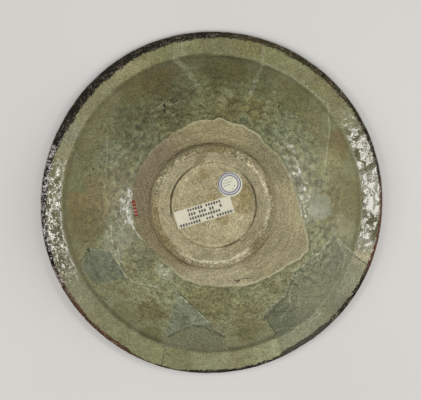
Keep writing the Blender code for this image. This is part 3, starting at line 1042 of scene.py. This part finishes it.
    def lip_glints():
        """Specks where the lip's paint is worn to shining glaze, which the lip's colour takes as painted
        highlights.
        """
        worn = flecks * 0.8 + sand * 0.6 + worms * 0.3
        return sector(184, 25, 8) * worn.rise(0, 0.35)

    def gloss():
        """How rough the glaze is: glassy on the ledge and in places by the foot."""
        rough = 0.10 + cloudy.rise(-0.2, 1.1) * 0.10 + speckle.rise(0.2, 1.3) * 0.08
        dimmed = (1 - glassy) * (1 - on_ledge) * 0.3
        satin = (1 - sectors((185, 34, 6), (8, 34, 6))) * 0.5
        return rough + dimmed + on_ledge * (1 - shine.most(satin)) * 0.5

    def ledge_shine():
        """Where the ledge keeps its gloss and its colour takes a painted highlight: between worm-like gaps
        at the right, in spots at the left.
        """
        gaps = abs(worms + flecks * 0.15).rise(0.37, 0.24)
        gaps = gaps * (cloudy + tint * 0.5).rise(0.05, 0.45)
        lines = abs(tint + worms * 0.3).rise(0.14, 0.05) * cloudy.rise(-0.3, 0.2)
        broad = sector(356, 15, 3) * (1 - gaps.most(lines))
        blobs = sector(19, 13, 5) * (worms + tint * 0.6).rise(-0.2, -0.04)
        pitted = sector(186, 22, 9)
        pitted = pitted * (flecks * 1.2 + worms * 0.5 + sand * 0.3).rise(-0.12, 0.12)
        return broad.most(blobs).most(pitted)

    def relief():
        """Heights in millimetres: gouges and bubbles in the ledge's glaze, a grainy clay."""
        sides = sectors((186, 40, 18), (8, 38, 18))
        cell = finish.put("TexVoronoi", {}, {"Vector": swirled, "Scale": 1 / 3.3})
        bubbles = cell * cell * (-0.5) * (0.03 + leftward * 0.4 + sector(25, 12, 7) * 0.6)
        gouges = abs(worms).rise(0.22, 0) * cloudy.rise(-0.3, 0.4) * (1 - leftward)
        glaze = (bubbles + worms * leftward * 0.08 - gouges * 0.3) * on_ledge * (0.2 + sides * 0.8)
        glaze = glaze + (worms * 0.1 + strokes * 0.08) * (1 - on_ledge) * (1 + glassy * 1.2)
        glaze = glaze + strokes * 0.006 + speckle * 0.004
        glaze = glaze + grey.rise(-0.3, 0.3) * 0.10 - pale.rise(-0.3, 0.3) * 0.08
        glaze = glaze - crack * 0.12 - dark_crack * 0.25
        clay = speckle * 0.14 + flecks * 0.2 + rings * 0.08 - 0.25
        return glaze * glazed + clay * (1 - glazed)

    x, y = finish.parts(finish.place)[:2]
    plan = finish.joined(x, y, 0)
    radius = vector("LENGTH", plan)
    unit = finish.parts(vector("NORMALIZE", plan))
    south = unit[1].rise(0.3, -0.8)
    bent_plan = vector("ADD", plan, wander(13, 5, 3.4))
    swirled = vector("ADD", finish.place, wander(8, 2, 2))
    broad = grain(34, 3, seed=1)
    cloudy = grain(12, 4, seed=2)
    tint = grain(7, 4, seed=9, rough=0.6)
    strokes = grain(4, 4, place=swirled, stretch=(0.75, 1.3, 1), seed=3, rough=0.7)
    speckle = grain(2.2, 3, seed=4, rough=0.75)
    sand = grain(0.9, 1, seed=17, rough=0.7)
    flecks = grain(2.7, 3, place=swirled, seed=15, rough=0.75)
    worms = grain(6, 2, place=swirled, seed=7, rough=0.5)
    ringwise = finish.joined(unit[0] * 5, unit[1] * 5, radius / 1.6)
    rings = grain(1, 3, place=ringwise, seed=10)
    crawl = read("crawl")

    from_edge = read("from_edge") + speckle * 0.3
    glazed = from_edge.rise(-0.3, 0.3)
    past_crease = radius - CREASE_RADIUS + cloudy * 0.35
    on_ledge = past_crease.rise(-0.5, 0.7)
    grey = read("grey_sherd")
    pale = read("pale_sherd")
    crack = line("pale_line") * (tint + flecks * 0.6).rise(-1.3, 0.3)
    dark_crack = line("dark_line") * (tint + flecks * 0.6).rise(-1, 0.3)
    right = streak((59, 42), (72, -8), 9)
    left = streak((-67, 8), (-67, -10), 7)
    # Where white glints are painted as highlights: on beads and specks by the foot, at the right and the
    # left
    drop_glints = right * (crawl * 0.9 + flecks * 0.8).rise(0.5, 0.9)
    drop_glints = drop_glints.most(left * (flecks + worms * 0.4).rise(-0.1, 0.5))
    glint = drop_glints.most(line("glint") * (tint + flecks).rise(-1, 0.1))
    glassy = (right.most(left) * (tint + flecks * 0.8).rise(-0.3, 0.5)).most(glint)
    shine = ledge_shine()
    leftward = unit[0].rise(0.2, -0.2)
    glinting = on_ledge * sectors((6, 22, 4), (186, 20, 9))
    ragged = cloudy * 0.9 + tint * 0.7 + flecks * 1.9
    painted = (read("lip_paint") + ragged).rise(-0.4, 0.4)

    colour = mix(glazed, clay(), glaze())
    colour = glaze_edge(colour)
    colour = red_strokes(colour)
    colour = mix(painted * 0.96, colour, lip())
    normal = finish.pressed(relief())
    finish.set(Base_Color=colour, Roughness=gloss(), Normal=normal, IOR=1.62)
    glossy = finish.shader
    finish.shader = finish.tree.nodes.new("ShaderNodeBsdfPrincipled")
    finish.set(Base_Color=colour, Roughness=0.9, Normal=normal, Specular_IOR_Level=0.18)
    dull = (1 - glazed).most(painted * (1 - lip_glints())).most(pale.rise(-0.5, 0.5) * 0.9)
    dull = dull.most((1 - on_ledge) * (1 - glassy) * 0.45)
    dull = dull.most(glinting * (1 - shine) * 0.6)
    shaders = [Wire(finish, shader.outputs[0]) for shader in (glossy, finish.shader)]
    both = finish.put("MixShader", {}, {0: dull, 1: shaders[0], 2: shaders[1]})
    finish.join(both, finish.tree.nodes["Material Output"].inputs["Surface"])
    return finish.material


def inner_finish():
    """The same glaze on the hidden inside, with plain worn bands of brown lustre."""
    finish = Finish("inner_glaze")
    mix = finish.mix
    x, y = finish.parts(finish.place)[:2]
    radius = finish.vector("LENGTH", finish.joined(x, y, 0))
    broad = finish.grain(36, 3, seed=11)
    cloudy = finish.grain(12, 4, seed=12)
    speckle = finish.grain(1.6, 3, seed=13, rough=0.7)
    glaze = mix(broad.rise(-0.9, 0.9), (128, 127, 94), (143, 141, 110))
    glaze.lay(cloudy.rise(0, 1.2) * 0.4, 116, 112, 80)
    at = radius + cloudy * 0.35 + speckle * 0.15
    bands = at.band(125, 134, 0.4).most(at.band(121.2, 122.4, 0.3)).most(at.band(110.5, 112.2, 0.3))
    bands = bands.most(at.band(74, 79, 0.4)).most(at.band(70.4, 71.5, 0.3)).most(at.band(22, 24, 0.3))
    lustre = mix(speckle.rise(-0.8, 1), (86, 60, 34), (112, 82, 48))
    kept = (cloudy + speckle * 0.4).rise(0.95, 0.35)
    glaze = mix(bands * kept * 0.85, glaze, lustre)
    glaze.lay(radius.rise(133, 134.5) * 0.9, 50, 41, 37)
    glaze = finish.shade(speckle.rise(0.1, -1.1) * 0.5, glaze, (170, 170, 156))
    height = finish.grain(4.6, 2.5, seed=14) * 0.06 + speckle * 0.02
    finish.set(
        Base_Color=glaze,
        Roughness=0.16 + cloudy.rise(-0.2, 1.1) * 0.16,
        Normal=finish.pressed(height),
        IOR=1.6,
    )
    return finish.material


def middle(low, high):
    """The middle of a paper's box, on the base."""
    return Vector(((low.x + high.x) / 2, (low.y + high.y) / 2, BASE_HEIGHT * MM))


def paper_place(finish, centre):
    """Places on a paper, in millimetres from its centre and along its own length and width."""
    location = (centre.x / MM, centre.y / MM, 0)
    values = {"Vector": finish.place, "Location": location, "Rotation": (0, 0, SLIP_TURN)}
    turned = finish.put("Mapping", {"vector_type": "TEXTURE"}, values)
    return finish.vector("MULTIPLY", turned, (1, 1, 0))


def slip_finish(centre):
    """Cream paper with four rows of plain typed strokes."""
    finish = Finish("typed_paper")
    u, v = finish.parts(paper_place(finish, centre))[:2]
    cloudy = finish.grain(7, 3, seed=21)
    fibre = finish.grain(0.8, 3, stretch=(0.5, 1.4, 1), seed=22, rough=0.7)
    paper = finish.mix(cloudy.rise(-1, 1), (202, 197, 174), (211, 206, 186))
    paper = finish.shade(fibre.rise(0.2, -1.2) * 0.35, paper, (215, 208, 186))
    to_edge = (SLIP_LENGTH / 2 - abs(u)).least(SLIP_WIDTH / 2 - abs(v))
    paper.lay(to_edge.rise(0.9, 0) * (0.4 + cloudy * 0.2), 196, 186, 152)
    row = (v + 6.75) / 3.33
    row_number = row.whole()
    beside = row.rest() - 0.5
    cell = u / 2.1 + 40
    cell_number = cell.whole()
    within = cell.rest() - 0.5
    chance, other = [
        finish.put("TexWhiteNoise", {}, {"Vector": finish.joined(cell_number, row_number, number)})
        for number in (3, 8)
    ]
    stroke = abs(within).rise(0.38, 0.3) * (abs(beside) - other * 0.12).rise(0.28, 0.22)
    last_row = row_number.rise(0.6, 0.4)
    reach = 13.2 + last_row * 8.4
    span = (reach - abs(u - 1.2 + last_row * 1.2)).rise(-0.1, 0.1)
    inked = stroke * span * chance.rise(0.12, 0.14) * abs(row_number - 1.5).rise(1.7, 1.6)
    paper.lay(inked * (0.9 + fibre * 0.2), 26, 20, 16)
    normal = finish.pressed(fibre * 0.02 + cloudy * 0.03 - inked * 0.02)
    finish.set(Base_Color=paper, Roughness=0.78, Normal=normal)
    return finish.material


def sticker_finish(centre):
    """White round sticker with a plain double ring in blue, and faint strokes in the middle."""
    finish = Finish("ringed_paper")
    place = paper_place(finish, centre)
    u, v = finish.parts(place)[:2]
    around_ring = finish.vector("DISTANCE", place, (-0.3, 0.45, 0))
    cloudy = finish.grain(6, 3, seed=31)
    fibre = finish.grain(0.8, 3, seed=32, rough=0.7)
    paper = finish.mix(cloudy.rise(-1, 1), (202, 202, 181), (209, 209, 189))
    edge = finish.vector("LENGTH", finish.joined(u, v, 0))
    paper.lay(edge.rise(STICKER_RADIUS - 0.7, STICKER_RADIUS) * 0.5, 188, 190, 182)
    blue = finish.mix(fibre.rise(-1, 1), (112, 112, 150), (150, 148, 172))
    paper = finish.mix(around_ring.band(6.3, 8.5, 0.15) * 0.45, paper, blue)
    rings = around_ring.band(8.05, 8.8, 0.12).most(around_ring.band(6.05, 6.75, 0.12))
    paper.lay(rings * (0.85 + fibre * 0.3), 50, 52, 92)
    row = v / 2 + 40.5
    beside = row.rest() - 0.5
    cell = u / 1.9 + 40
    chance = finish.put("TexWhiteNoise", {}, {"Vector": finish.joined(cell.whole(), row.whole(), 1)})
    stroke = abs(cell.rest() - 0.5).rise(0.34, 0.24) * abs(beside).rise(0.27, 0.17)
    strokes = stroke * chance.rise(0.25, 0.3) * around_ring.rise(5, 4.7)
    paper.lay(strokes * 0.8, 112, 110, 88)
    normal = finish.pressed(fibre * 0.015 + cloudy * 0.03)
    finish.set(Base_Color=paper, Roughness=0.6, Normal=normal)
    return finish.material


def finish_paper(paper, centre, material, name):
    """Gives a flat sheet its thickness, its place in its mesh and its paper."""
    sheet = paper.modifiers.new("thickness", "SOLIDIFY")
    sheet.thickness = PAPER_THICKNESS * MM
    sheet.offset = -1
    bpy.ops.object.modifier_apply(modifier="thickness")
    paper.rotation_euler = (0, 0, SLIP_TURN)
    paper.location = centre
    bpy.ops.object.transform_apply(location=True, rotation=True, scale=True)
    bpy.ops.object.shade_smooth_by_angle(angle=math.radians(40))
    paper.name = name
    paper.data.materials.append(material)


def make_slip():
    """A slip of paper, a little cockled, that lies across the base."""
    centre = middle(slip_low, slip_high)
    columns, rows = SLIP_CELLS
    slip = added(bpy.ops.mesh.primitive_grid_add, x_subdivisions=columns, y_subdivisions=rows, size=1)
    slip.scale = (SLIP_LENGTH * MM, SLIP_WIDTH * MM, 1)
    bpy.ops.object.transform_apply(location=False, rotation=False, scale=True)
    places = vertex_places(slip)
    cockle = 0.07 * lumps(places, 11, 6) + 0.03 * lumps(places, 4, 7)
    ends = step_up(np.abs(places[:, 0]), 17, 23) * step_up(np.abs(places[:, 1]), 2, 7)
    ragged = 0.12 * lumps(places, 2, 8)
    across, up = np.abs(places[:, 0]), np.abs(places[:, 1])
    on_edge = (across > SLIP_LENGTH / 2 - 0.1) | (up > SLIP_WIDTH / 2 - 0.1)
    places[:, 0] += np.where(on_edge, ragged, 0)
    places[:, 1] += np.where(on_edge, np.roll(ragged, 5), 0)
    places[:, 2] = 0.34 + cockle + 0.12 * ends
    move_vertices(slip, places)
    finish_paper(slip, centre, slip_finish(centre), "slip_of_paper")
    return slip


def make_sticker():
    """A round sticker that lies on the base and over the slip's corner."""
    centre = middle(sticker_low, sticker_high)
    add = bpy.ops.mesh.primitive_circle_add
    sticker = added(add, vertices=STICKER_SIDES, radius=STICKER_RADIUS * MM, fill_type="NGON")
    bpy.ops.object.mode_set(mode="EDIT")
    bpy.ops.mesh.select_all(action="SELECT")
    for k in range(STICKER_RINGS):
        bpy.ops.mesh.inset(thickness=STICKER_RING_GAP * MM)
    bpy.ops.mesh.poke()
    bpy.ops.object.mode_set(mode="OBJECT")
    places = vertex_places(sticker)
    offset = centre / MM - middle(slip_low, slip_high) / MM
    along = offset.x * math.cos(SLIP_TURN) + offset.y * math.sin(SLIP_TURN)
    above = offset.y * math.cos(SLIP_TURN) - offset.x * math.sin(SLIP_TURN)
    into = np.minimum(SLIP_LENGTH / 2 - places[:, 0] - along, SLIP_WIDTH / 2 - places[:, 1] - above)
    places[:, 2] = 0.3 + 0.26 * step_up(into, -2.2, -0.1) + 0.04 * lumps(places, 5, 9)
    move_vertices(sticker, places)
    finish_paper(sticker, centre, sticker_finish(centre), "sticker_of_paper")
    return sticker


def make_floor():
    """A plain pale floor under everything."""
    floor = added(bpy.ops.mesh.primitive_plane_add, size=8)
    floor.name = "floor"
    finish = Finish("pale_floor")
    cloudy = finish.grain(300, 2, seed=41)
    pale = finish.mix(cloudy.rise(-1, 1), (208, 206, 202), (212, 210, 206))
    finish.set(Base_Color=pale, Roughness=0.9)
    floor.data.materials.append(finish.material)


add_camera()
add_studio()
make_floor()

bowl = make_bowl()
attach(bowl, "root")
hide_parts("bowl")

slip = make_slip()
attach(slip, "root")
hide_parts("paper_slip")

sticker = make_sticker()
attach(sticker, "root")
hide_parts("round_sticker")
